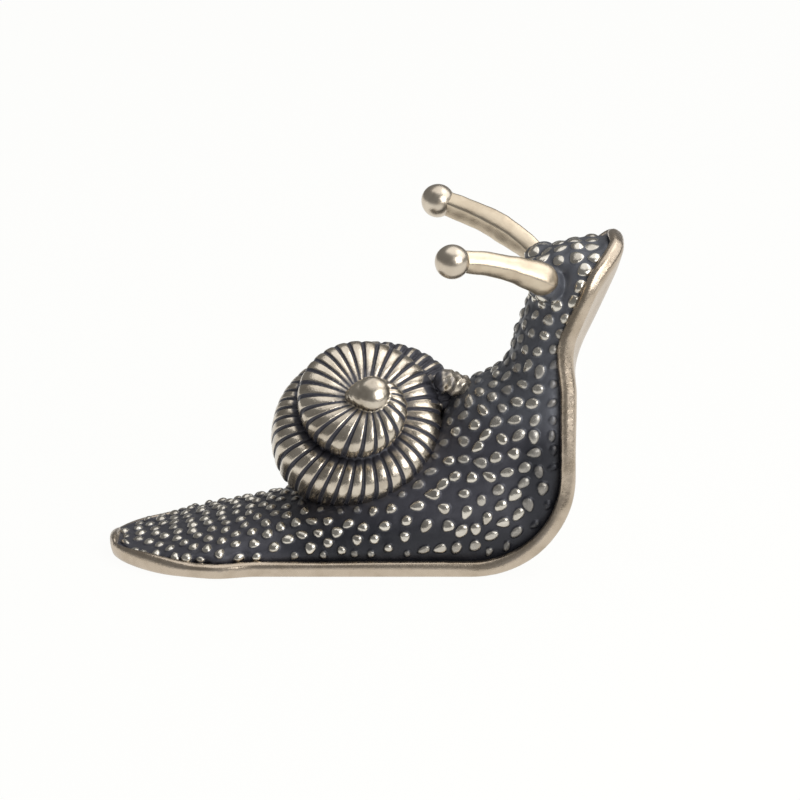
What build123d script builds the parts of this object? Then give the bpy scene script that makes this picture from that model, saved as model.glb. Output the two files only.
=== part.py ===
from build123d import *
import math
import os

os.makedirs("parts", exist_ok=True)

# Snail figurine, millimetres. +X is the head end, +Z is up, the sole rests on Z = 0.

# the sole plate, bent up in an L so that it faces forward under the head
overall_length = 41.0      # tail tip to nose
head_height = 26.4         # top of the plate behind the face
plate_thickness = 1.0
foot_half_width = 7.2
tail_taper = 11.5          # length over which the tail rounds off
tail_lift = 0.3            # the tail tip is a little off the table
tail_rise = 10.0           # length of that lift
bend_radius = 8.2
lean_share = 0.4066        # share of the upright part's height at which it starts to lean forward
lean_radius = 9.0
lean_angle = 23.7          # how far the face leans forward
head_half_width = 4.8
arch_share = 0.7582        # share of it at which the head starts to round off
waist_start = 4.0          # below this height the upright is as wide as the foot
rim_rounding = 0.4

# places that follow from these
upright_height = head_height - bend_radius
lean_start = bend_radius + lean_share * upright_height
head_arch_start = bend_radius + arch_share * upright_height
face_lean = math.radians(lean_angle)
straight_height = head_height - lean_start - lean_radius * math.sin(face_lean)
lean_reach = lean_radius * (1 - math.cos(face_lean)) + straight_height * math.tan(face_lean)
rounded_off = rim_rounding * (math.tan(face_lean) + 1 / math.cos(face_lean) - 1)
tail_x = -overall_length / 2
nose_x = overall_length / 2 + rounded_off
upright_x = nose_x - lean_reach
bend_x = upright_x - bend_radius

# the body: tail, back, neck and head
rim_inset = 0.7            # bare band between the body and the edge of the plate
back_heights = [0.2, 0.55, 1.95, 3.45, 6.0, 9.0]          # above the flat sole
back_shares = [0.0275, 0.1203, 0.2921, 0.4983, 0.7045, 0.8763]  # of the way from the tail to the bend
back_places = [tail_x + share * (bend_x - tail_x) for share in back_shares]
bend_heights = [12.0, 11.6]                              # across the bend
bend_angles = [-60.0, -30.0]
bend_leans = [116.0, 123.0]
neck_heights = [8.9, 6.0, 4.3, 3.8, 4.15, 4.55, 4.2, 3.2]  # behind the upright sole
neck_shares = [0.0, 0.2088, 0.4286, 0.6209, 0.7857, 0.89, 0.945, 0.975]  # of the upright part's height
neck_places = [bend_radius + share * upright_height for share in neck_shares]
neck_leans = [132.0, 138.0, 149.0, 164.0, 174.0, 177.0, 180.0, 181.0]

# the coiled shell, given along its axis from the smooth knob at its tip
seat_share = 0.7045        # the shell sits this far along the back
seat_x = tail_x + seat_share * (bend_x - tail_x)
tip_forward = 0.9          # the knob is in front of the seat
tip_x = seat_x + tip_forward
tip_y = -5.2
tip_z = 14.6
axis_direction = (0.17, -0.64, 0.75)
knob_radius = 1.55
coil_turns = 1.95          # counted from the right of the knob
coil_reach = 8.35          # radius that the whorls grow towards
coil_rate = 1.2            # how fast they grow towards it
coil_lead = 0.32           # turns of that growth before the coil starts
whorl_radius = 1.2         # half thickness of the whorl beside the knob
whorl_growth = 0.9         # what each turn adds to it
coil_drop = 5.1            # how far the first turn falls
flare_start = 1.6          # turns after which the mouth spreads towards the neck
lip_flare = 3.7            # how far it spreads at its end
core_radius = 5.0          # the solid middle of the shell, a ball inside the whorls
core_depth = 5.3
coil_steps = 4             # sections in each half turn

# the pin that holds the shell on the back
peg_radius = 0.8
peg_length = 6.0
peg_x = seat_x
peg_y = 0.0
peg_foot_height = 4.6

# the two stalks and the balls on them: root, middle and ball centre, each given
# forward of the upright part, outward of the side of the head and above its top
right_root_offset = (-2.1, -0.9, -2.9)
right_middle_offset = (-6.1, 1.2, -1.55)
right_ball_offset = (-9.87, 2.8, -0.23)
left_root_offset = (-2.6, -0.9, -2.4)
left_middle_offset = (-7.1, 1.2, -0.35)
left_ball_offset = (-10.97, 2.8, 0.87)
eye_radius = 1.35
stalk_root_radius = 0.95
stalk_tip_radius = 0.7
root_depth = 1.3           # how far a stalk goes into the head
tip_gap = 0.5              # a stalk stops this short of the ball's centre
solder_gap = 0.05          # all round each pin and stalk in its hole

# the main pebbles on the skin, low domes; the finer ones between them are not modelled
pebble_radius = 0.62
pebble_sink = 0.36         # how deep the middle of a pebble's ball lies under the skin
pebble_spacing = 2.5
pebble_clearance = 1.0     # from the plate, the shell and the stalks
search_rows = 150          # places tried along the body
search_columns = 60        # and around it

# lines of the sole, seen from the side
margin = 2.0
rise_x = tail_x + tail_rise
tail_radius = (tail_rise**2 + tail_lift**2) / (2 * tail_lift)
tail_angle = math.degrees(math.asin((tail_rise + margin) / tail_radius))


def width_along(x):
    """Half width of the foot at a place along it."""
    inward = max(0.0, tail_x + tail_taper - x) / tail_taper
    return foot_half_width * math.sqrt(max(0.0, 1 - inward**2))


def width_at_height(z):
    """Half width of the upright part at a height."""
    if z > head_arch_start:
        rise = (z - head_arch_start) / (head_height - head_arch_start)
        return head_half_width * math.sqrt(max(0.0, 1 - rise**2))
    climb = min(1.0, max(0.0, (z - waist_start) / (head_arch_start - waist_start)))
    ease = climb * climb * (3 - 2 * climb)
    return foot_half_width + (head_half_width - foot_half_width) * ease


def sole_line(inward):
    """The side line of the sole, moved inward, from the tail to above the head."""
    tail = CenterArc((rise_x, tail_radius), tail_radius - inward, 270 - tail_angle, tail_angle)
    flat = Line((rise_x, inward), (bend_x, inward))
    bend = CenterArc((bend_x, bend_radius), bend_radius - inward, 270, 90)
    front = upright_x - inward
    upright = Line((front, bend_radius), (front, lean_start))
    turn = CenterArc((upright_x + lean_radius, lean_start), lean_radius + inward, 180, -lean_angle)
    straight = Line(turn @ 1, turn @ 1 + (turn % 1) * (straight_height + margin) / math.cos(face_lean))
    return tail @ 0, straight @ 1


def sole_height(x):
    """Height of the plate's top over the foot."""
    back = max(0.0, rise_x - x)
    return tail_radius - math.sqrt((tail_radius - plate_thickness) ** 2 - back**2)


def sole_front(z):
    """Place of the plate's back face at a height."""
    up = max(0.0, z - lean_start)
    inner = lean_radius + plate_thickness
    curved = min(up, inner * math.sin(face_lean))
    straight = (up - curved) * math.tan(face_lean)
    return upright_x + lean_radius - math.sqrt(inner**2 - curved**2) + straight


with BuildPart() as foot_plate:
    with BuildSketch(Plane.XZ):
        with BuildLine():
            outer_tail, outer_tip = sole_line(0)
            inner_tail, inner_tip = sole_line(plate_thickness)
            Line(outer_tail, inner_tail)
            Line(outer_tip, inner_tip)
        make_face()
    extrude(amount=foot_half_width + margin, both=True)
    with BuildSketch(Plane.XY):
        with BuildLine():
            tail_end = tail_x + tail_taper
            far = nose_x + margin
            EllipticalCenterArc((tail_end, 0), tail_taper, foot_half_width, start_angle=90, arc_size=180)
            Polyline(
                (tail_end, -foot_half_width),
                (far, -foot_half_width),
                (far, foot_half_width),
                (tail_end, foot_half_width),
            )
        make_face()
    extrude(amount=head_height + margin, both=True, mode=Mode.INTERSECT)
    with BuildSketch(Plane.YZ):
        with BuildLine():
            side_count = 7
            arch_count = 8
            climb = [
                waist_start + (head_arch_start - waist_start) * k / side_count
                for k in range(side_count + 1)
            ]
            arch = [math.radians(90 * k / arch_count) for k in range(1, arch_count + 1)]
            right_edge = [(width_at_height(z), z) for z in climb]
            right_edge += [
                (
                    head_half_width * math.cos(a),
                    head_arch_start + (head_height - head_arch_start) * math.sin(a),
                )
                for a in arch
            ]
            left_edge = [(-y, z) for y, z in reversed(right_edge[:-1])]
            Spline(*right_edge, *left_edge, tangents=[(0, 1), (0, -1)])
            Polyline(
                (-foot_half_width, waist_start),
                (-foot_half_width, -margin),
                (foot_half_width, -margin),
                (foot_half_width, waist_start),
            )
        make_face()
    extrude(amount=overall_length, both=True, mode=Mode.INTERSECT)
    # the rim is rounded over on both faces of the plate
    creases = foot_plate.edges().filter_by(Axis.Y)
    fillet(foot_plate.edges() - creases, rim_rounding)


def body_section(base, lean, height, half_width):
    """A domed section standing on the plate, leaning back by an angle in degrees."""
    up = Vector(math.cos(math.radians(lean)), 0, math.sin(math.radians(lean)))
    across = Plane(origin=base, x_dir=(0, 1, 0), z_dir=(up.Z, 0, -up.X))
    wide = half_width
    foot = 0.93 * wide
    deep = -plate_thickness / 2
    with BuildSketch(across) as section:
        with BuildLine():
            Spline(
                (foot, deep),
                (wide, 0.3 * height),
                (0.74 * wide, 0.75 * height),
                (0, height),
                (-0.74 * wide, 0.75 * height),
                (-wide, 0.3 * height),
                (-foot, deep),
            )
            Line((-foot, deep), (foot, deep))
        make_face()
    return section.sketch


sections = []
for x, height in zip(back_places, back_heights):
    sections.append(((x, 0, sole_height(x)), 90, height, width_along(x)))
for angle, lean, height in zip(bend_angles, bend_leans, bend_heights):
    turn = math.radians(angle)
    inner = bend_radius - plate_thickness
    x = bend_x + inner * math.cos(turn)
    z = bend_radius + inner * math.sin(turn)
    sections.append(((x, 0, z), lean, height, width_at_height(z)))
for z, lean, height in zip(neck_places, neck_leans, neck_heights):
    sections.append(((sole_front(z), 0, z), lean, height, width_at_height(z)))

with BuildPart() as body:
    for base, lean, height, half_width in sections:
        add(body_section(base, lean, height, half_width - rim_inset))
    loft()
    skin = body.faces().sort_by(SortBy.AREA)[-1]
    # what lies under the plate's upper face is taken off, so the body seats on it
    with BuildSketch(Plane.XZ):
        with BuildLine():
            seat_tail, seat_tip = sole_line(plate_thickness)
            left = seat_tail.X - margin
            right = nose_x + 2 * margin
            Polyline(
                seat_tail,
                (left, seat_tail.Y),
                (left, -margin),
                (right, -margin),
                (right, seat_tip.Y),
                seat_tip,
            )
        make_face()
    extrude(amount=foot_half_width + margin, both=True, mode=Mode.SUBTRACT)


# the coil's own axes: along its axis, to the right and up as seen from its tip
axis = Vector(*axis_direction).normalized()
tip = Vector(tip_x, tip_y, tip_z)
coil_plane = Plane(origin=tip, x_dir=Vector(1, 0, 0) - axis * axis.X, z_dir=axis)


def whorl_thickness(turns):
    """Half thickness of the whorl after some turns from the knob."""
    return whorl_radius + whorl_growth * turns


def coil_section(turns):
    """Plane of one section of the whorl, facing along it."""
    spread = max(0.0, turns - flare_start) / (coil_turns - flare_start)
    growth = 1 - math.exp(-coil_rate * (turns + coil_lead))
    edge = coil_reach * growth + lip_flare * spread**2
    reach = edge - whorl_thickness(turns)
    angle = -2 * math.pi * turns
    outward = coil_plane.x_dir * math.cos(angle) + coil_plane.y_dir * math.sin(angle)
    along = coil_plane.x_dir * math.sin(angle) - coil_plane.y_dir * math.cos(angle)
    drop = coil_drop * (0.3 + 0.95 * turns - 0.22 * turns**2)
    centre = tip + outward * reach - axis * drop
    return Plane(origin=centre, x_dir=outward, z_dir=along)


with BuildPart() as shell_peg:
    with BuildSketch(Plane.XY.offset(peg_foot_height)):
        with Locations((peg_x, peg_y)):
            Circle(peg_radius)
    extrude(amount=peg_length)

with BuildPart() as shell:
    half_turns = math.ceil(coil_turns * 2)
    stride = coil_turns / half_turns
    for half in range(half_turns):
        for step in range(coil_steps + 1):
            turns = stride * (half + step / coil_steps)
            with BuildSketch(coil_section(turns)):
                Circle(whorl_thickness(turns))
        loft()
    with Locations(coil_plane.offset(-core_depth)):
        Sphere(core_radius)
    with Locations(coil_plane):
        Sphere(knob_radius)
    with Locations(coil_section(0)):
        Sphere(whorl_thickness(0))
    # the underside is hollowed to sit on the back, with a hole for the pin
    add(body.part, mode=Mode.SUBTRACT)
    with BuildSketch(Plane.XY.offset(peg_foot_height - solder_gap)):
        with Locations((peg_x, peg_y)):
            Circle(peg_radius + solder_gap)
    extrude(amount=peg_length + 2 * solder_gap, mode=Mode.SUBTRACT)


def stalk_path(side, offsets):
    """The bent line of a stalk, from inside the head to inside its ball."""
    root, middle, ball = [
        (upright_x + forward, side * (head_half_width + outward), head_height + above)
        for forward, outward, above in offsets
    ]
    line = ThreePointArc(root, middle, ball, mode=Mode.PRIVATE)
    start = line @ 0 - (line % 0) * root_depth
    stop = line @ 1 - (line % 1) * tip_gap
    return ThreePointArc(start, line @ 0.5, stop, mode=Mode.PRIVATE)


def stalk_sections(path):
    """Planes and radii of the stalk, tapering towards the ball."""
    count = 6
    rows = []
    for k in range(count + 1):
        share = k / count
        radius = stalk_root_radius + (stalk_tip_radius - stalk_root_radius) * share
        rows.append((Plane(origin=path @ share, z_dir=path % share), radius))
    return rows


right_path = stalk_path(-1, [right_root_offset, right_middle_offset, right_ball_offset])
left_path = stalk_path(1, [left_root_offset, left_middle_offset, left_ball_offset])

with BuildPart() as right_stalk:
    for place, radius in stalk_sections(right_path):
        with BuildSketch(place):
            Circle(radius)
    loft()

with BuildPart() as left_stalk:
    for place, radius in stalk_sections(left_path):
        with BuildSketch(place):
            Circle(radius)
    loft()

right_tip = Plane(origin=right_path @ 1, z_dir=right_path % 1)
with BuildPart() as right_eye:
    with Locations(right_tip.offset(tip_gap)):
        Sphere(eye_radius)
    with BuildSketch(right_tip.offset(solder_gap)):
        Circle(stalk_tip_radius + 2 * solder_gap)
    extrude(amount=-2 * eye_radius, mode=Mode.SUBTRACT)

left_tip = Plane(origin=left_path @ 1, z_dir=left_path % 1)
with BuildPart() as left_eye:
    with Locations(left_tip.offset(tip_gap)):
        Sphere(eye_radius)
    with BuildSketch(left_tip.offset(solder_gap)):
        Circle(stalk_tip_radius + 2 * solder_gap)
    extrude(amount=-2 * eye_radius, mode=Mode.SUBTRACT)



def height_over_plate(spot):
    """How far a place on the skin is from the plate that carries it."""
    if spot.X < bend_x:
        return spot.Z - sole_height(spot.X)
    if spot.Z < bend_radius:
        return bend_radius - plate_thickness - math.hypot(spot.X - bend_x, spot.Z - bend_radius)
    return sole_front(spot.Z) - spot.X


whorl_places = [coil_turns * k / search_columns for k in range(search_columns + 1)]
covers = [(coil_section(turns).origin, whorl_thickness(turns)) for turns in whorl_places]
covers.append((coil_plane.offset(-core_depth).origin, core_radius))
covers += [(path @ 0.1, stalk_root_radius + pebble_radius) for path in (right_path, left_path)]


def is_bare(spot):
    """Whether a place on the skin is clear of the plate, the shell and the stalks."""
    if height_over_plate(spot) < pebble_clearance:
        return False
    return all((spot - centre).length > radius + pebble_clearance for centre, radius in covers)


# the pebbles fill the bare skin row by row, none nearer to another than the spacing
pebble_spots = []
pebble_places = []
for row in range(1, search_rows):
    for column in range(1, search_columns):
        place = (column / search_columns, row / search_rows)
        spot = skin.position_at(*place)
        crowded = any((spot - other).length < pebble_spacing for other in pebble_spots)
        if not crowded and is_bare(spot):
            pebble_spots.append(spot)
            outward = skin.normal_at(*place)
            pebble_places.append(Plane(origin=spot - outward * pebble_sink, z_dir=outward))

# pebbles on the body, and holes in it for the pin and for the roots of the stalks
socket_depth = 3 * root_depth
with BuildPart() as body_with_holes:
    add(body.part)
    with Locations(*pebble_places):
        Sphere(pebble_radius)
    with BuildSketch(Plane.XY.offset(peg_foot_height - solder_gap)):
        with Locations((peg_x, peg_y)):
            Circle(peg_radius + solder_gap)
    extrude(amount=peg_length + 2 * solder_gap, mode=Mode.SUBTRACT)
    for path in (right_path, left_path):
        with BuildSketch(Plane(origin=path @ 0, z_dir=path % 0).offset(-solder_gap)):
            Circle(stalk_root_radius + solder_gap)
        extrude(amount=socket_depth, mode=Mode.SUBTRACT)

pieces = {
    "foot_plate": foot_plate,
    "body": body_with_holes,
    "shell": shell,
    "shell_peg": shell_peg,
    "right_stalk": right_stalk,
    "left_stalk": left_stalk,
    "right_eye": right_eye,
    "left_eye": left_eye,
}
for name, piece in pieces.items():
    piece.part.label = name
    export_step(piece.part, f"parts/{name}.step")
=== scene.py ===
import math

import bpy
import numpy as np
from mathutils import Matrix, Vector
from mathutils.bvhtree import BVHTree
from mathutils.kdtree import KDTree


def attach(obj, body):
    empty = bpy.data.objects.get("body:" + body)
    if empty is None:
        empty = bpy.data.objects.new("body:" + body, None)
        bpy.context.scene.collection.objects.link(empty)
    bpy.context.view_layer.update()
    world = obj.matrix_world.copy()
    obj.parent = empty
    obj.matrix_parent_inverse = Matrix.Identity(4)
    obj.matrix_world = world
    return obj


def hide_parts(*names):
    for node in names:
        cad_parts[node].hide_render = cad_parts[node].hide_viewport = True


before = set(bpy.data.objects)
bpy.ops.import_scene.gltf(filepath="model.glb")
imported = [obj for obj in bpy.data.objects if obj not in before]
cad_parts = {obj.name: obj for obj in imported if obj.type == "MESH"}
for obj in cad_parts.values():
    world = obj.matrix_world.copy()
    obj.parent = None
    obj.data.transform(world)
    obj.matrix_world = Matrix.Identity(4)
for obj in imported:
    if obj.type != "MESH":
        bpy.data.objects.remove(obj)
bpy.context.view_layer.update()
scene = bpy.context.scene
scene.view_settings.view_transform = "Standard"
mm = 0.001  # shapes are worked out in millimetres and stored in metres
print("frame loaded")


# a value or colour in a shader, so that sums on it add their own Math nodes
class Value:
    def __init__(self, shader, socket):
        self.shader = shader
        self.socket = socket

    def sum(self, operation, first, second):
        return self.shader.node("ShaderNodeMath", {"operation": operation}, {0: first, 1: second})

    def __add__(self, other):
        return self.sum("ADD", self, other)

    def __radd__(self, other):
        return self.sum("ADD", other, self)

    def __sub__(self, other):
        return self.sum("SUBTRACT", self, other)

    def __rsub__(self, other):
        return self.sum("SUBTRACT", other, self)

    def __mul__(self, other):
        return self.sum("MULTIPLY", self, other)

    def __rmul__(self, other):
        return self.sum("MULTIPLY", other, self)


class Shader:
    def __init__(self, holder):
        self.holder = holder
        holder.use_nodes = True
        self.tree = holder.node_tree
        self.tree.nodes.clear()

    def node(self, kind, settings=None, sockets=None, output=0):
        made = self.tree.nodes.new(kind)
        for key, value in (settings or {}).items():
            setattr(made, key, value)
        for key, value in (sockets or {}).items():
            if isinstance(value, Value):
                self.tree.links.new(value.socket, made.inputs[key])
            elif isinstance(value, tuple) and len(value) == 3 and made.inputs[key].type == "RGBA":
                made.inputs[key].default_value = (*value, 1)
            else:
                made.inputs[key].default_value = value
        return Value(self, made.outputs[output]) if made.outputs else None

    def attribute(self, name):
        return self.node("ShaderNodeAttribute", {"attribute_name": name}, output="Fac")

    def place(self):
        return self.node("ShaderNodeTexCoord", output="Object")

    def noise(self, size, detail=3.0, rough=0.55):
        scale = 1 / (size * mm)
        return self.node("ShaderNodeTexNoise", None,
                         {"Vector": self.place(), "Scale": scale, "Detail": detail, "Roughness": rough})

    def between(self, value, low, high):
        sockets = {"Value": value, "From Min": low, "From Max": high}
        return self.node("ShaderNodeMapRange", {"interpolation_type": "SMOOTHSTEP"}, sockets)

    def mix(self, factor, first, second):
        sockets = {0: factor, 6: first, 7: second}  # 6 and 7 are the two colours
        return self.node("ShaderNodeMix", {"data_type": "RGBA"}, sockets, output=2)

    def bump(self, height, depth, strength=1.0, normal=None):
        sockets = {"Height": height, "Distance": depth * mm, "Strength": strength}
        if normal:
            sockets["Normal"] = normal
        return self.node("ShaderNodeBump", None, sockets)

    def finish(self, sockets):
        surface = self.node("ShaderNodeBsdfPrincipled", None, sockets)
        self.node("ShaderNodeOutputMaterial", None, {"Surface": surface})
        return self.holder


# mesh tools on plain arrays, in millimetres
def faceCorners(mesh):
    corners = np.empty(len(mesh.loops), dtype=np.int64)
    mesh.loops.foreach_get("vertex_index", corners)
    return corners


def meshPoints(mesh):
    points = np.empty(len(mesh.vertices) * 3)
    mesh.vertices.foreach_get("co", points)
    return points.reshape(-1, 3)


def remeshed(points, faces, voxel):
    rough = bpy.data.meshes.new("rough")
    rough.from_pydata(points, [], faces)
    holder = bpy.data.objects.new("rough", rough)
    scene.collection.objects.link(holder)
    modifier = holder.modifiers.new("even", "REMESH")
    modifier.mode = "VOXEL"
    modifier.voxel_size = voxel
    bpy.context.view_layer.update()
    even = bpy.data.meshes.new_from_object(holder.evaluated_get(bpy.context.evaluated_depsgraph_get()))
    newPoints = meshPoints(even)
    quads = faceCorners(even).reshape(-1, 4)
    bpy.data.objects.remove(holder)
    bpy.data.meshes.remove(rough)
    bpy.data.meshes.remove(even)
    return newPoints, quads


def nodeArrays(name):
    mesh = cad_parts[name].data
    points = meshPoints(mesh) / mm
    faces = [tuple(polygon.vertices) for polygon in mesh.polygons]
    return points, faces


def nodeTree(name):
    points, faces = nodeArrays(name)
    return BVHTree.FromPolygons([tuple(p) for p in points], faces)


def distanceTo(tree, points, reach):
    far = np.full(len(points), float(reach))
    for k, point in enumerate(points):
        hit = tree.find_nearest(point, reach)
        if hit[3] is not None:
            far[k] = hit[3]
    return far


def quadEdges(quads):
    pairs = np.concatenate([quads[:, [k, (k + 1) % 4]] for k in range(4)])
    return np.unique(np.sort(pairs, axis=1), axis=0)


def neighbourMean(values, edges, count):
    ends = np.concatenate([edges[:, 0], edges[:, 1]])
    others = np.concatenate([edges[:, 1], edges[:, 0]])
    number = np.maximum(np.bincount(ends, minlength=count), 1)
    columns = [np.bincount(ends, values[others, k], count) / number for k in range(values.shape[1])]
    return np.stack(columns, axis=1)


# each round evens the surface, then swells it back to its size
def smoothed(points, quads, rounds):
    edges = quadEdges(quads)
    for _ in range(rounds):
        points = points + 0.5 * (neighbourMean(points, edges, len(points)) - points)
        points = points - 0.53 * (neighbourMean(points, edges, len(points)) - points)
    return points


def pointNormals(points, quads):
    a, b, c, d = (points[quads[:, k]] for k in range(4))
    across = np.cross(c - a, d - b)
    normals = np.zeros_like(points)
    for k in range(4):
        for axis in range(3):
            normals[:, axis] += np.bincount(quads[:, k], across[:, axis], len(points))
    return normals / np.maximum(np.linalg.norm(normals, axis=1, keepdims=True), 1e-9)


def smoothStep(low, high, value):
    share = np.clip((value - low) / (high - low), 0, 1)
    return share * share * (3 - 2 * share)


# soft lumps, the same each run: a few sine waves with seeded directions
def lumps(points, size, seed):
    draw = np.random.default_rng(seed)
    total = np.zeros(len(points))
    for _ in range(7):
        direction = draw.normal(size=3)
        direction /= np.linalg.norm(direction)
        length = size * draw.uniform(0.7, 1.5)
        start = draw.uniform(0, 6.3)
        total += np.sin(points @ direction * (2 * math.pi / length) + start)
    return total / 4


def makePiece(name, points, faces, material, node, attributes):
    mesh = bpy.data.meshes.new(name)
    mesh.from_pydata(np.asarray(points) * mm, [], faces)
    mesh.polygons.foreach_set("use_smooth", np.ones(len(mesh.polygons), dtype=bool))
    for key, values in attributes.items():
        layer = mesh.attributes.new(key, "FLOAT", "POINT")
        layer.data.foreach_set("value", np.asarray(values, dtype=np.float32))
    mesh.materials.append(material)
    mesh.update()
    piece = bpy.data.objects.new(name, mesh)
    scene.collection.objects.link(piece)
    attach(piece, "root")
    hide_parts(node)
    print(name, len(mesh.vertices), "points")


# finishes: polished brass where it is worn, a bluish black patina where it is not, and patina also where
# shade is painted
rimTone = {"bright": (0.57, 0.48, 0.38), "warm": (0.46, 0.38, 0.29), "roughness": 0.28, "grain": 0.02}
skinTone = {"bright": (0.72, 0.68, 0.60), "warm": (0.48, 0.44, 0.38), "roughness": 0.2, "grain": 0.03}
shellTone = {"bright": (0.66, 0.59, 0.49), "warm": (0.46, 0.40, 0.32), "roughness": 0.25, "grain": 0.03}
stalkTone = {"bright": (0.69, 0.59, 0.45), "warm": (0.57, 0.47, 0.35), "roughness": 0.36, "grain": 0.02}
ballTone = {"bright": (0.71, 0.63, 0.52), "warm": (0.60, 0.52, 0.42), "roughness": 0.3, "grain": 0.01}
patina = {
    "colour": (0.066, 0.066, 0.081),
    "deep": (0.02, 0.021, 0.028),    # painted shade, darker low on the front and flanks
    "light": (0.1, 0.105, 0.122),    # painted light, lighter up on the neck and head
    "roughness": 0.42,
}


def brassFinish(name, tone):
    shader = Shader(bpy.data.materials.new(name))
    mottle = shader.noise(1.6)
    fine = shader.noise(0.25, 4.0)
    # this mask is lowered where shade is painted, so the patina stands in for that shade
    wear = shader.attribute("wornAndPaintedShade") + (mottle - 0.5) * 0.3 + (fine - 0.5) * 0.25
    wornAndPaintedShade = shader.between(wear, 0.2, 0.75)
    metal = shader.mix(shader.between(mottle, 0.35, 0.75), tone["bright"], tone["warm"])
    # painted shade and painted light: the patina is darkened low down and lightened up on the neck and head
    patinaWithPaintedShadeAndLight = shader.mix(shader.attribute("deep"), patina["colour"], patina["deep"])
    patinaWithPaintedShadeAndLight = shader.mix(shader.attribute("light"), patinaWithPaintedShadeAndLight, patina["light"])
    colour = shader.mix(wornAndPaintedShade, patinaWithPaintedShadeAndLight, metal)
    smoother = tone["roughness"] - patina["roughness"]
    roughness = wornAndPaintedShade * smoother + patina["roughness"] + (fine - 0.5) * 0.12
    coarse = shader.bump(shader.noise(0.9), tone["grain"] * 2.5, 0.5)
    normal = shader.bump(shader.noise(0.12, 4.0), tone["grain"], 0.35, coarse)
    return shader.finish({
        "Base Color": colour,
        "Metallic": wornAndPaintedShade * 0.7 + 0.3,
        "Roughness": roughness,
        "Normal": normal,
    })


rimBrass = brassFinish("rimBrass", rimTone)
skinBrass = brassFinish("skinBrass", skinTone)
shellBrass = brassFinish("shellBrass", shellTone)
stalkBrass = brassFinish("stalkBrass", stalkTone)
ballBrass = brassFinish("ballBrass", ballTone)
print("finishes made")


# the tail spreads a little and lies close to the table
tailShape = {
    "from": -8.5,
    "to": -12.5,
    "spread": 0.12,
    "lower": 0.22,
    "drop": 0.2,      # of the skin over the tail
    "end": -20.3,
    "narrowing": 1.3,  # length of the rounded end
}


def spreadTail(points):
    x, y, z = points.T
    share = smoothStep(tailShape["from"], tailShape["to"], x)
    low = tailShape["lower"] * smoothStep(-12.0, -18.0, x)
    return np.stack([x, y * (1 + tailShape["spread"] * share), z - np.minimum(low, z)], axis=1)


# the sole with its polished rim
soleShape = {
    "voxel": 0.14,
    "wave": 0.05,
    "rimLift": 0.28,
    "setBack": 0.7,       # of the rim under the head
    "faceBulge": 0.48,
    "faceHalf": 4.4,      # half the width of the swelling face
    "tailLift": 0.5,
    "cornerPaintedShade": 0.5,    # how dark the painted shade line along the front corner is
    "bandPaintedShade": 0.4,      # how dark the painted shade band along the top of the rim is
}


def makeSole():
    points, faces = nodeArrays("foot_plate")
    points, quads = remeshed(points, faces, soleShape["voxel"])
    points = smoothed(points, quads, 3)
    clear = distanceTo(nodeTree("body"), points, 4.0)
    normals = pointNormals(points, quads)
    bead = smoothStep(0.05, 0.35, clear) * smoothStep(1.1, 0.6, clear)
    lift = soleShape["rimLift"] * bead + soleShape["wave"] * lumps(points, 5.0, 3)
    points = points + normals * (lift * smoothStep(0.9, 0.5, -normals[:, 2]))[:, None]
    x, y, z = points.T
    # under the head the rim is set back from the swelling face
    raised = smoothStep(14.5, 19.5, z) * smoothStep(27.5, 23.5, z)
    front = np.clip(1 - (y / soleShape["faceHalf"]) ** 2, 0, 1) * smoothStep(0.3, 0.7, normals[:, 0])
    back = soleShape["setBack"] * smoothStep(1.5, 4.6, np.abs(y))
    points[:, 0] += raised * (soleShape["faceBulge"] * front - back)
    # the near rim of the tail stands up
    onRim = smoothStep(0.1, 0.35, clear) * smoothStep(0.5, 1.3, z) * smoothStep(2.0, -2.0, y)
    points[:, 2] += soleShape["tailLift"] * smoothStep(-13.0, -18.0, x) * onRim
    wornAndPaintedShade = smoothStep(0.1, 0.3, clear)
    # painted shade: a dark line along the front corner and a dark band on the upward sloping faces of the
    # rim, set by which way the surface faces
    cornerShadeLine = np.exp(-(((normals[:, 0] - 0.52) / 0.09) ** 2)) * smoothStep(9, 13, z)
    upward = normals[:, 2]
    band = smoothStep(0.1, 0.3, upward) * smoothStep(0.85, 0.65, upward) * smoothStep(14, 9, z)
    wornAndPaintedShade = wornAndPaintedShade * (1 - soleShape["cornerPaintedShade"] * cornerShadeLine) * (1 - soleShape["bandPaintedShade"] * band)
    return spreadTail(points), quads, wornAndPaintedShade


points, quads, wornAndPaintedShade = makeSole()
makePiece("sole", points, quads.tolist(), rimBrass, "foot_plate", {"wornAndPaintedShade": wornAndPaintedShade})


# the ribbed coil with its smooth knob
coilShape = {
    "tip": (0.53, -5.3, 14.88),
    "axis": (0.15, -0.75, 0.64),
    "start": -0.32,
    "turns": 1.975,
    "size": 7.45,
    "growth": 1.55,
    "drop": 4.05,
    "flare": 2.2,
    "flareRise": 3.0,
    "under": 2.2,         # how much deeper a whorl is below its middle than above
    "bulge": 2.2,
    "knob": 1.5,
    "knobHeight": 1.15,
    "knobDepth": 0.55,
    "knobSide": 0.27,
    "knobUp": 0.1,
    # each ball of the knob's tail: how far to the left, radius, depth
    "knobTail": ((0.55, 1.25, 0.1), (1.05, 0.95, 0.25), (1.5, 0.66, 0.5)),
    # balls that fill the inside: depth below the tip, how far down, radius
    "core": ((6.0, 0.0, 3.2), (7.2, 0.4, 4.6)),
    "ribDepth": 0.3,
    "voxel": 0.075,
    "solderStart": (6.5, -0.75, 14.45, 1.0),     # place and radius of the first ball
    "solderChange": (1.2, 0.25, -0.45, -0.05),   # from the first ball to the last
    "solderBalls": 7,
    "solderLumps": 0.1,
}
coilAxis = np.array(coilShape["axis"]) / np.linalg.norm(coilShape["axis"])
coilRight = np.array([1.0, 0, 0]) - coilAxis * coilAxis[0]
coilRight /= np.linalg.norm(coilRight)
coilUp = np.cross(coilAxis, coilRight)
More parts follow.
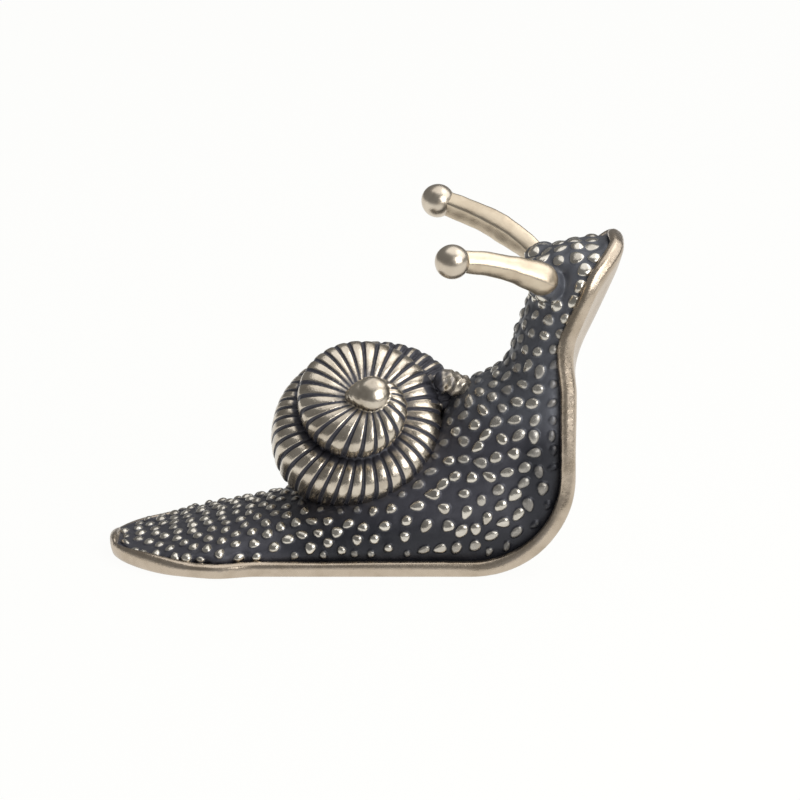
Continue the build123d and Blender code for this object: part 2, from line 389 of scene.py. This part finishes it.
coilTip = np.array(coilShape["tip"])
solderShare = np.linspace(0, 1, coilShape["solderBalls"])[:, None]
solder = np.array(coilShape["solderStart"]) + solderShare * np.array(coilShape["solderChange"])


def lipSpread(t):
    return (np.maximum(0, t - 1.6) / 0.35) ** 2


def whorlEdge(t):
    even = coilShape["size"] * (1 - np.exp(-coilShape["growth"] * (t + 0.33)))
    uneven = 0.45 * np.exp(-(((t - 1.37) / 0.1) ** 2)) - 0.65 * np.exp(-(((t - 1.64) / 0.13) ** 2))
    return even + uneven + coilShape["flare"] * lipSpread(t)


# each whorl starts under the one before it
def whorlInside(t):
    return np.maximum(0.2, 0.72 * whorlEdge(t - 1))


def whorlDrop(t):
    level = 0.5 * (t + 0.04 + np.sqrt((t - 0.04) ** 2 + 0.02))
    return 0.75 + coilShape["drop"] * level - coilShape["flareRise"] * lipSpread(t)


def whorlHeight(t):
    return 1.2 + 0.55 * t


# ribs passed after some turns, a little unevenly spaced
def ribCount(t):
    return 20 * t + 7.25 * t**2 + 0.12 * np.sin(9.1 * t) + 0.1 * np.sin(29 * t)


# 0 along the middle of a groove, 1 along the top of a rib
def ribCrest(t):
    return np.abs(np.sin(math.pi * ribCount(t)))


# how deep the ribs are cut, with the grooves wider at a whorl's edge and shallow round the outside
def ribCut(t, angle):
    edge = smoothStep(0.9, 0.1, np.abs(angle))
    dip = np.clip(1 - ribCrest(t) / (0.52 + 0.2 * edge), 0, 1) ** 1.2
    outer = smoothStep(1.35, 1.5, t) + smoothStep(0.42, 0.52, t) * smoothStep(1.0, 0.9, t)
    shallow = 1 - 0.6 * outer * smoothStep(0.9, 0.2, np.abs(angle))
    inner = 1 - 0.85 * smoothStep(0.9, 0.6, t) * smoothStep(2.0, 2.7, np.abs(angle))
    return coilShape["ribDepth"] * (0.85 * dip + 0.15 * (1 - ribCrest(t))) * shallow * inner


def coilPoint(t, angle):
    closing = np.sqrt(np.clip(1 - (np.maximum(0, t - 1.84) / 0.14) ** 2, 0.01, 1))
    middle = (whorlEdge(t) + whorlInside(t)) / 2
    wide = (whorlEdge(t) - whorlInside(t)) / 2 * closing
    high = whorlHeight(t) * closing
    cut = ribCut(t, angle) * closing
    across = np.sign(np.cos(angle)) * np.abs(np.cos(angle)) ** (2 / coilShape["bulge"])
    upward = np.sign(np.sin(angle)) * np.abs(np.sin(angle)) ** (2 / coilShape["bulge"])
    high = np.where(upward < 0, high * coilShape["under"], high)
    reach = middle + (wide - cut) * across
    depth = -whorlDrop(t) + (high - cut) * upward
    turn = -2 * math.pi * t
    outward = np.cos(turn)[..., None] * coilRight + np.sin(turn)[..., None] * coilUp
    return coilTip + reach[..., None] * outward + depth[..., None] * coilAxis


# a ball, pressed flat along the coil's axis
def ballArrays(centre, radius, rings=40, flat=1.0):
    rows = [centre + coilAxis * radius * flat]
    for j in range(1, rings):
        polar = math.pi * j / rings
        for k in range(2 * rings):
            turn = math.pi * k / rings
            rows.append(centre + radius * (coilAxis * flat * math.cos(polar) + math.sin(polar)
                        * (coilRight * math.cos(turn) + coilUp * math.sin(turn))))
    rows.append(centre - coilAxis * radius * flat)
    last = len(rows) - 1
    wide = 2 * rings
    faces = [(0, 1 + k, 1 + (k + 1) % wide) for k in range(wide)]
    for j in range(rings - 2):
        a = 1 + j * wide
        b = a + wide
        faces += [(a + k, b + k, b + (k + 1) % wide, a + (k + 1) % wide) for k in range(wide)]
    a = 1 + (rings - 2) * wide
    faces += [(last, a + (k + 1) % wide, a + k) for k in range(wide)]
    return np.array(rows), faces


def joined(parts):
    allPoints, allFaces, count = [], [], 0
    for points, faces in parts:
        allPoints.append(points)
        allFaces += [tuple(v + count for v in face) for face in faces]
        count += len(points)
    return np.concatenate(allPoints), allFaces


def tubeFaces(rings, sides):
    faces = []
    for j in range(rings - 1):
        a = j * sides
        b = a + sides
        faces += [(a + k, a + (k + 1) % sides, b + (k + 1) % sides, b + k) for k in range(sides)]
    faces.append(tuple(range(sides))[::-1])
    faces.append(tuple((rings - 1) * sides + k for k in range(sides)))
    return faces


def makeShell():
    rings, sides = 1100, 80
    t = np.linspace(coilShape["start"], coilShape["turns"], rings)[:, None]
    angle = np.linspace(-math.pi, math.pi, sides, endpoint=False)[None, :]
    tube = coilPoint(t + 0 * angle, angle + 0 * t).reshape(-1, 3)
    squash = coilShape["knobHeight"] / coilShape["knob"]
    knobPlace = coilTip - coilAxis * coilShape["knobDepth"]
    knobPlace = knobPlace + coilRight * coilShape["knobSide"] + coilUp * coilShape["knobUp"]
    knobBalls = [(knobPlace, coilShape["knob"])]
    for left, size, deep in coilShape["knobTail"]:
        knobBalls.append((knobPlace - coilRight * left - coilAxis * deep, size))
    parts = [(tube, tubeFaces(rings, sides))]
    for deep, down, size in coilShape["core"]:
        parts.append(ballArrays(coilTip - coilAxis * deep - coilUp * down, size))
    parts += [ballArrays(centre, radius, 40, squash) for centre, radius in knobBalls]
    parts += [ballArrays(c[:3], c[3], 20) for c in solder]
    points, quads = remeshed(*joined(parts), coilShape["voxel"])
    points = smoothed(points, quads, 2)
    # the solder is smoothed into the shell, then made lumpy
    onSolder = np.min([np.linalg.norm(points - c[:3], axis=1) - c[3] for c in solder], axis=0)
    rough = smoothStep(0.5, 0.0, onSolder)
    edges = quadEdges(quads)
    for _ in range(40):
        points = points + 0.6 * rough[:, None] * (neighbourMean(points, edges, len(points)) - points)
    lift = coilShape["solderLumps"] * rough * lumps(points, 0.7, 41)
    points = points + pointNormals(points, quads) * lift[:, None]
    # which whorl each point lies on, and how deep in a groove
    local = points - coilTip
    depth = local @ coilAxis
    flat = np.stack([local @ coilRight, local @ coilUp], axis=1)
    reach = np.linalg.norm(flat, axis=1)
    share = (-np.arctan2(flat[:, 1], flat[:, 0]) / (2 * math.pi)) % 1.0
    gaps, turnsHere, placesAcross = [], [], []
    for whole in (-1, 0, 1):
        t = share + whole
        inside = (t >= coilShape["start"]) & (t <= coilShape["turns"])
        halfWide = (whorlEdge(t) - whorlInside(t)) / 2
        across = (reach - whorlEdge(t)) / halfWide + 1
        upward = (depth + whorlDrop(t)) / whorlHeight(t)
        upward = np.where(upward < 0, upward / coilShape["under"], upward)
        power = coilShape["bulge"]
        gap = ((np.abs(across) ** power + np.abs(upward) ** power) ** (1 / power) - 1) * whorlHeight(t)
        gaps.append(np.where(inside, gap, 9.0))
        turnsHere.append(t)
        placesAcross.append(across)
    gaps = np.array(gaps)
    order = np.argsort(np.abs(gaps), axis=0)
    rows = np.arange(len(points))
    t = np.array(turnsHere)[order[0], rows]
    across = np.array(placesAcross)[order[0], rows]
    second = np.abs(gaps[order[1], rows])
    knob = np.full(len(points), 9.0)
    for centre, radius in knobBalls:
        away = points - centre
        along = away @ coilAxis
        far = np.sqrt(np.sum(away**2, axis=1) - along**2 + (along / squash) ** 2)
        knob = np.minimum(knob, np.abs(far - radius))
    ribTones = np.random.default_rng(7).uniform(-0.12, 0.12, 200)
    tone = ribTones[np.floor(ribCount(t) + 0.5).astype(int) + 20]
    # painted shade: the ribs are kept dark next to the suture where one whorl meets the next; the dark
    # grooves are patina
    wornAndPaintedShade = smoothStep(0.36, 0.64, ribCrest(t)) * smoothStep(0.1, 0.5, second)
    wornAndPaintedShade = wornAndPaintedShade * (0.45 + tone + 0.55 * smoothStep(-0.4, 0.35, across))
    # the end of the coil is dark, with only a line of metal along each rib
    ending = smoothStep(1.74, 1.82, t)
    wornAndPaintedShade = wornAndPaintedShade * (1 - ending) + 0.9 * ending * smoothStep(0.9, 0.99, ribCrest(t))
    # dark round the solder, bright on the knob, bare metal on the solder itself
    wornAndPaintedShade = wornAndPaintedShade * smoothStep(0.5, 1.2, onSolder)
    wornAndPaintedShade = np.maximum(wornAndPaintedShade, smoothStep(0.12, 0.04, knob)) * smoothStep(6.35, 6.15, points[:, 0])
    bare = smoothStep(5.9, 6.5, points[:, 0]) * (0.6 + 0.25 * lumps(points, 0.6, 42))
    wornAndPaintedShade = wornAndPaintedShade * (1 - rough) + rough * bare
    return points, quads, wornAndPaintedShade


shellPoints, shellQuads, wornAndPaintedShade = makeShell()
shellFaces = shellQuads.tolist()
makePiece("shell_coil", shellPoints, shellFaces, shellBrass, "shell", {"wornAndPaintedShade": wornAndPaintedShade})


# the pebbled body
skinShape = {
    "voxel": 0.1,
    "bareBand": 0.8,      # plain strip above the rim
    "tailBand": 0.5,
    "shellGap": 0.45,     # no pebbles closer to the shell
    "stalkGap": 0.75,
    "height": 0.29,
    "seed": 11,
    "ball": 0.62,         # the main pebbles of the solid are balls, sunk into the skin
    "sink": 0.36,
    "apart": 2.5,
    "wave": 0.03,
    "dimFlank": 0.2,     # how much darker the pebbles are drawn in places; on the low front under the head this is painted shade
    "dimNeck": 0.14,
    # painted shade on the pebbles low on the front under the head
    "frontPaintedShade": 0.28,
    # balls that round the top of the head: place, radius
    "crown": (
        (14.2, 1.3, 23.75, 1.5),
        (14.4, 3.2, 23.6, 1.4),
        (14.4, -3.2, 23.1, 1.4),
        (14.1, -1.2, 23.4, 1.5),
    ),
}


def pebbleSpacing(x, z):
    if z > 17:
        return 1.3
    return 1.42 if x > 4 else 1.32


def pebbleSize(x, z):
    if z > 17:
        return 0.48, 0.44
    if x > 4:
        return 0.6, 0.43
    return 0.48, 0.41


def pointTree(points):
    tree = KDTree(len(points))
    for k, p in enumerate(points):
        tree.insert(p, k)
    tree.balance()
    return tree


# the main pebbles stand above a well smoothed copy of the solid
def findMainPebbles(points, quads, normals, allowed):
    edges = quadEdges(quads)
    flat = points
    for _ in range(50):
        flat = flat + 0.6 * (neighbourMean(flat, edges, len(flat)) - flat)
    height = np.where(allowed, np.sum((points - flat) * normals, axis=1), 0)
    tops = []
    for k in np.argsort(-height):
        if height[k] < 0.06:
            break
        if all(np.sum((points[k] - points[j]) ** 2) > (0.7 * skinShape["apart"]) ** 2 for j in tops):
            tops.append(k)
    return tops


def cellOf(p):
    return round(p.x / 2), round(p.y / 2), round(p.z / 2)


# more pebbles between the main ones, pushed apart until they lie evenly
def fillPebbles(points, allowed, tops):
    draw = np.random.default_rng(skinShape["seed"])
    places = np.flatnonzero(allowed)
    tree = pointTree(points[places])
    centres = [Vector(points[k]) for k in tops]
    around = [(i, j, m) for i in (-1, 0, 1) for j in (-1, 0, 1) for m in (-1, 0, 1)]
    cells = {}
    for p in centres:
        cells.setdefault(cellOf(p), []).append(p)
    for k in draw.permutation(places):
        p = Vector(points[k])
        a, b, c = cellOf(p)
        near = [q for i, j, m in around for q in cells.get((a + i, b + j, c + m), ())]
        least = 0.8 * pebbleSpacing(p.x, p.z)
        if all((p - q).length > least for q in near):
            cells.setdefault((a, b, c), []).append(p)
            centres.append(p)
    for _ in range(25):
        others = pointTree(centres)
        moved = list(centres)
        for k in range(len(tops), len(centres)):
            p = centres[k]
            reach = 1.15 * pebbleSpacing(p.x, p.z)
            push = Vector((0, 0, 0))
            for q, j, far in others.find_range(p, reach):
                if j != k:
                    push += (p - q) / max(far, 0.05) * (reach - far)
            moved[k] = tree.find(p + 0.3 * push)[0]
        centres = moved
    return [places[tree.find(p)[1]] for p in centres]


def makeSkin():
    parts = [nodeArrays("body")] + [ballArrays(np.array(c[:3]), c[3], 20) for c in skinShape["crown"]]
    points, quads = remeshed(*joined(parts), skinShape["voxel"])
    points = smoothed(points, quads, 2)
    normals = pointNormals(points, quads)
    x, y, z = points.T
    fromSole = distanceTo(nodeTree("foot_plate"), points, 5.0)
    shellTree = BVHTree.FromPolygons([tuple(p) for p in shellPoints], shellFaces)
    fromShell = distanceTo(shellTree, points, 3.0)
    stalkTrees = (nodeTree("right_stalk"), nodeTree("left_stalk"))
    fromStalks = np.minimum(*(distanceTo(tree, points, 2.0) for tree in stalkTrees))
    band = np.interp(x, (-15, -8, 0), (0.12, skinShape["tailBand"], skinShape["bareBand"]))
    allowed = (fromSole > band) & (fromShell > skinShape["shellGap"]) & (fromStalks > skinShape["stalkGap"])
    crown = smoothStep(21.5, 22.5, z) * smoothStep(17.0, 16.0, x)
    tops = findMainPebbles(points, quads, normals, allowed & (crown < 0.5))
    print("main pebbles", len(tops))
    # level the balls of the solid, to shape each pebble anew in the same place
    for k in tops:
        over = (points - points[k]) @ normals[k] + skinShape["ball"] - skinShape["sink"]
        close = np.sum((points - points[k]) ** 2, axis=1) < 0.75**2
        points[close] -= np.clip(over[close], 0, None)[:, None] * normals[k]
    points = smoothed(points, quads, 6)
    edges = quadEdges(quads)
    topTree = pointTree(points[tops])
    levelled = np.array([smoothStep(1.1, 0.8, topTree.find(p)[2]) for p in points])
    soft = np.maximum(crown, levelled * 0.7)
    for _ in range(40):
        points = points + 0.6 * soft[:, None] * (neighbourMean(points, edges, len(points)) - points)
    normals = pointNormals(points, quads)
    chosen = fillPebbles(points, allowed, tops)
    print("pebbles", len(chosen))
    draw = np.random.default_rng(skinShape["seed"] + 1)
    tree = pointTree(points)
    lift = np.zeros(len(points))
    polishAndPaintedShade = np.zeros(len(points))
    for k in chosen:
        centre = points[k]
        normal = normals[k]
        long, short = pebbleSize(centre[0], centre[2])
        upper = max(smoothStep(-6.0, -10.0, centre[0]), smoothStep(16.0, 18.0, centre[2]))
        clear = max(smoothStep(0.6, 1.6, min(fromSole[k], fromShell[k] + 0.3)), upper)
        small = 0.7 + 0.3 * clear
        long *= draw.uniform(0.85, 1.15) * small
        short *= draw.uniform(0.88, 1.12) * small
        turn = draw.normal(0.9, 0.5)
        side = np.cross(normal, (0.0, -0.6, 0.8))
        side /= np.linalg.norm(side)
        up = np.cross(normal, side)
        first = side * math.cos(turn) + up * math.sin(turn)
        second = np.cross(normal, first)
        point = draw.uniform(0.0, 0.4)
        onHead = smoothStep(20.5, 22.5, centre[2])
        turned = max(smoothStep(0.3, 0.7, normal[2]) * onHead, 0.5 * smoothStep(-0.5, -0.8, normal[0]))
        long *= 1 + 0.15 * onHead
        short *= 1 + 0.2 * onHead
        tall = skinShape["height"] * draw.uniform(0.8, 1.15) * small * (1 - 0.5 * turned)
        # pebbles next to the rim and the shell are drawn darker; next to the shell this is painted shade
        bright = draw.uniform(0.65 + 0.3 * onHead, 1.0) * (0.5 + 0.5 * clear)
        # the flank, upper neck and low front get darker pebbles; on the low front under the head it is
        # painted shade
        frontLowShade = smoothStep(11.5, 13.5, centre[0]) * smoothStep(13.0, 10.5, centre[2])
        upNeck = smoothStep(8.0, 11.0, centre[0]) * smoothStep(11.0, 14.0, centre[2])
        dimming = skinShape["dimFlank"] * smoothStep(2.0, 6.0, centre[0])
        dimming = dimming + skinShape["dimNeck"] * upNeck + skinShape["frontPaintedShade"] * frontLowShade
        bright *= 1 - dimming * (1 - onHead)
        near = np.array([hit[1] for hit in tree.find_range(centre, long * 1.3)])
        offset = points[near] - centre
        along = offset @ first / long
        across = offset @ second / (short * np.clip(1 - point * along, 0.3, 2))
        reach = np.sqrt(along**2 + across**2)
        height = tall * np.clip(1 - reach ** (2.5 - 0.5 * upper), 0, 1) ** (0.5 + 0.15 * upper)
        lift[near] = np.maximum(lift[near], height)
        polishAndPaintedShade[near] = np.maximum(polishAndPaintedShade[near], bright * smoothStep(1.05, 0.8, reach))
    points = points + normals * (lift + skinShape["wave"] * lumps(points, 1.2, 5))[:, None]
    points[:, 2] -= tailShape["drop"] * smoothStep(-7.0, -13.0, x) * smoothStep(0.8, 2.5, z)
    points[:, 1] *= np.sqrt(np.clip((x - tailShape["end"]) / tailShape["narrowing"], 0.1, 1))
    # painted shade darkens the patina low on the front and flanks, and painted light makes it lighter up on
    # the neck and head
    x, z = points[:, 0], points[:, 2]
    front = smoothStep(11.0, 13.5, x) * smoothStep(13.0, 10.0, z)
    deep = np.maximum(front, smoothStep(6.0, 3.0, z) * smoothStep(-8.0, -4.0, x))
    light = smoothStep(10.5, 13.5, z)
    return spreadTail(points), quads, {"wornAndPaintedShade": polishAndPaintedShade, "deep": deep, "light": light}


points, quads, wear = makeSkin()
makePiece("skin", points, quads.tolist(), skinBrass, "body", wear)


# stalks and balls
stalkShape = {
    "right": {
        "root": (15.1, -4.2, 23.3),
        "middle": (11.0, -5.9, 25.28),
        "ball": (6.93, -7.6, 26.17),
        "radii": (1.3, 1.0, 0.88),
        "power": 1.6,
        "roll": 0.0,
    },
    "left": {
        "root": (14.4, 3.1, 23.2),
        "middle": (10.9, 5.5, 25.55),
        "ball": (5.95, 7.6, 27.22),
        "radii": (1.0, 1.14, 0.98),
        "power": 1.3,
        "roll": -0.3,
    },
    "ball": 1.36,
    "slim": 0.88,         # width of a section against its height
    "wave": 0.03,
    "rings": 90,
    "sides": 48,
}


def stalkLine(side, share):
    a, b, c = (np.array(stalkShape[side][key]) for key in ("root", "middle", "ball"))
    bend = 2 * b - (a + c) / 2
    s = np.asarray(share)[:, None]
    return (1 - s) ** 2 * a + 2 * s * (1 - s) * bend + s**2 * c


def makeStalk(side):
    rings, sides = stalkShape["rings"], stalkShape["sides"]
    share = np.linspace(0, 1, rings)
    line = stalkLine(side, share * 0.97)
    ahead = np.gradient(line, axis=0)
    ahead /= np.linalg.norm(ahead, axis=1, keepdims=True)
    across = np.cross(ahead, (0, 0, 1.0))
    across /= np.linalg.norm(across, axis=1, keepdims=True)
    above = np.cross(across, ahead)
    radii = stalkShape[side]["radii"]
    radius = np.interp(share, (0.15, 0.5, 1), radii)
    along = share * np.linalg.norm(line[-1] - line[0])
    rounding = np.sqrt(np.clip(1 - (1 - along / radii[0]).clip(0, 1) ** 2, 0.02, 1))
    radius = radius * rounding
    angle = np.linspace(0, 2 * math.pi, sides, endpoint=False)
    power = stalkShape[side]["power"]
    flat = (np.abs(np.cos(angle)) ** power + np.abs(np.sin(angle)) ** power) ** (-1 / power)
    roll = stalkShape[side]["roll"]
    sideways = (flat * np.cos(angle + roll) * stalkShape["slim"])[None, :, None]
    upward = (flat * np.sin(angle + roll))[None, :, None]
    section = across[:, None, :] * sideways + above[:, None, :] * upward
    points = line[:, None, :] + radius[:, None, None] * section
    points = points.reshape(-1, 3)
    crease = np.minimum(np.abs(np.sin(angle)), 0.2) / 0.2
    wornAndPaintedShade = np.repeat((0.5 + 0.5 * crease)[None, :], rings, axis=0).reshape(-1)
    faces = tubeFaces(rings, sides)
    wave = stalkShape["wave"] * lumps(points, 1.8, 21 if side == "right" else 22)
    points = points + wave[:, None] * np.array([0.3, 0.3, 1.0])
    return points, faces, wornAndPaintedShade


def makeBall(side):
    centre = np.array(stalkShape[side]["ball"])
    points, faces = ballArrays(centre, stalkShape["ball"], 48)
    points = centre + (points - centre) * (1 + 0.012 * lumps(points, 2.0, 31))[:, None]
    return points, faces


for side in ("right", "left"):
    points, faces, wornAndPaintedShade = makeStalk(side)
    makePiece(side + "_feeler", points, faces, stalkBrass,
              side + "_stalk", {"wornAndPaintedShade": wornAndPaintedShade})
    points, faces = makeBall(side)
    wornAndPaintedShade = np.ones(len(points))
    makePiece(side + "_ball", points, faces, ballBrass,
              side + "_eye", {"wornAndPaintedShade": wornAndPaintedShade})

# the hidden pin keeps its own solid
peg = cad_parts["shell_peg"]
peg.data.materials.clear()
peg.data.materials.append(stalkBrass)

# floor, light and camera
studio = {
    "half": 1.5,
    "front": -0.1,
    "world": 0.215,
    "paper": 0.04,        # share of plain paper in the floor
    "paperTone": (0.95, 0.95, 0.94),
    "white": (1.0, 1.0, 0.985),
}
softBoxes = {
    "key": {"place": (0.26, 0.02, 0.27), "size": (0.36, 0.32), "brightness": 1.35},
    "top": {"place": (0.05, 0.05, 0.38), "size": (0.4, 0.46), "brightness": 1.0},
    "side": {"place": (0.09, -0.095, 0.075), "size": (0.09, 0.09), "brightness": 4.0},
}


# white where the camera and reflections see it, with some plain paper for the shadow
def makeFloor():
    half, front = studio["half"], studio["front"]
    shader = Shader(bpy.data.materials.new("paleFloor"))
    rays = ("Is Camera Ray", "Is Glossy Ray", "Is Transmission Ray")
    seen = [shader.node("ShaderNodeLightPath", output=ray) for ray in rays]
    paper = shader.node("ShaderNodeBsdfDiffuse", None, {"Color": studio["paperTone"]})
    glow = shader.node("ShaderNodeEmission", None, {"Color": studio["white"], "Strength": 1.0})
    white = (seen[0] + seen[1] + seen[2]) * (1 - studio["paper"])
    both = shader.node("ShaderNodeMixShader", None, {0: white, 1: paper, 2: glow})
    shader.node("ShaderNodeOutputMaterial", None, {"Surface": both})
    mesh = bpy.data.meshes.new("floor")
    corners = [(-half, front, 0), (half, front, 0), (half, half, 0), (-half, half, 0)]
    mesh.from_pydata(corners, [], [(0, 1, 2, 3)])
    mesh.materials.append(shader.holder)
    floor = bpy.data.objects.new("floor", mesh)
    scene.collection.objects.link(floor)


# a soft box whose brightness does not depend on its size
def makeLight(name, place, size, brightness):
    lamp = bpy.data.lights.new(name, "AREA")
    lamp.shape = "RECTANGLE"
    lamp.size, lamp.size_y = size
    lamp.energy = brightness * math.pi * size[0] * size[1]
    holder = bpy.data.objects.new(name, lamp)
    holder.location = place
    holder.rotation_euler = (Vector((0, 0, 0.012)) - Vector(place)).to_track_quat("-Z", "Y").to_euler()
    scene.collection.objects.link(holder)


def makeWorld():
    shader = Shader(bpy.data.worlds.new("studio"))
    seen = shader.node("ShaderNodeLightPath", output="Is Camera Ray")
    colour = shader.mix(seen, (studio["world"],) * 3, studio["white"])
    glow = shader.node("ShaderNodeBackground", None, {"Color": colour, "Strength": 1.0})
    shader.node("ShaderNodeOutputWorld", None, {"Surface": glow})
    scene.world = shader.holder


makeFloor()
for name, box in softBoxes.items():
    makeLight(name, **box)
makeWorld()

cameraView = {
    "azimuth": 0.0,
    "elevation": 17.0,
    "distance": 320.0,
    "aim": (2.876, 0.0, 13.0),
    "up": -0.345,
    "lens": 179.28,
}


def makeCamera():
    turn = math.radians(cameraView["azimuth"])
    rise = math.radians(cameraView["elevation"])
    back = Vector((math.sin(turn) * math.cos(rise), -math.cos(turn) * math.cos(rise), math.sin(rise)))
    right = Vector((math.cos(turn), math.sin(turn), 0))
    up = back.cross(right)
    aim = Vector(cameraView["aim"]) + up * cameraView["up"]
    lens = bpy.data.cameras.new("camera")
    lens.lens = cameraView["lens"]
    lens.sensor_width = 36.0
    lens.clip_start = 0.01
    holder = bpy.data.objects.new("camera", lens)
    axes = Matrix((right, up, back)).transposed().to_4x4()
    holder.matrix_world = Matrix.Translation((aim + back * cameraView["distance"]) * mm) @ axes
    scene.collection.objects.link(holder)
    scene.camera = holder


makeCamera()
print("floor, light and camera made")
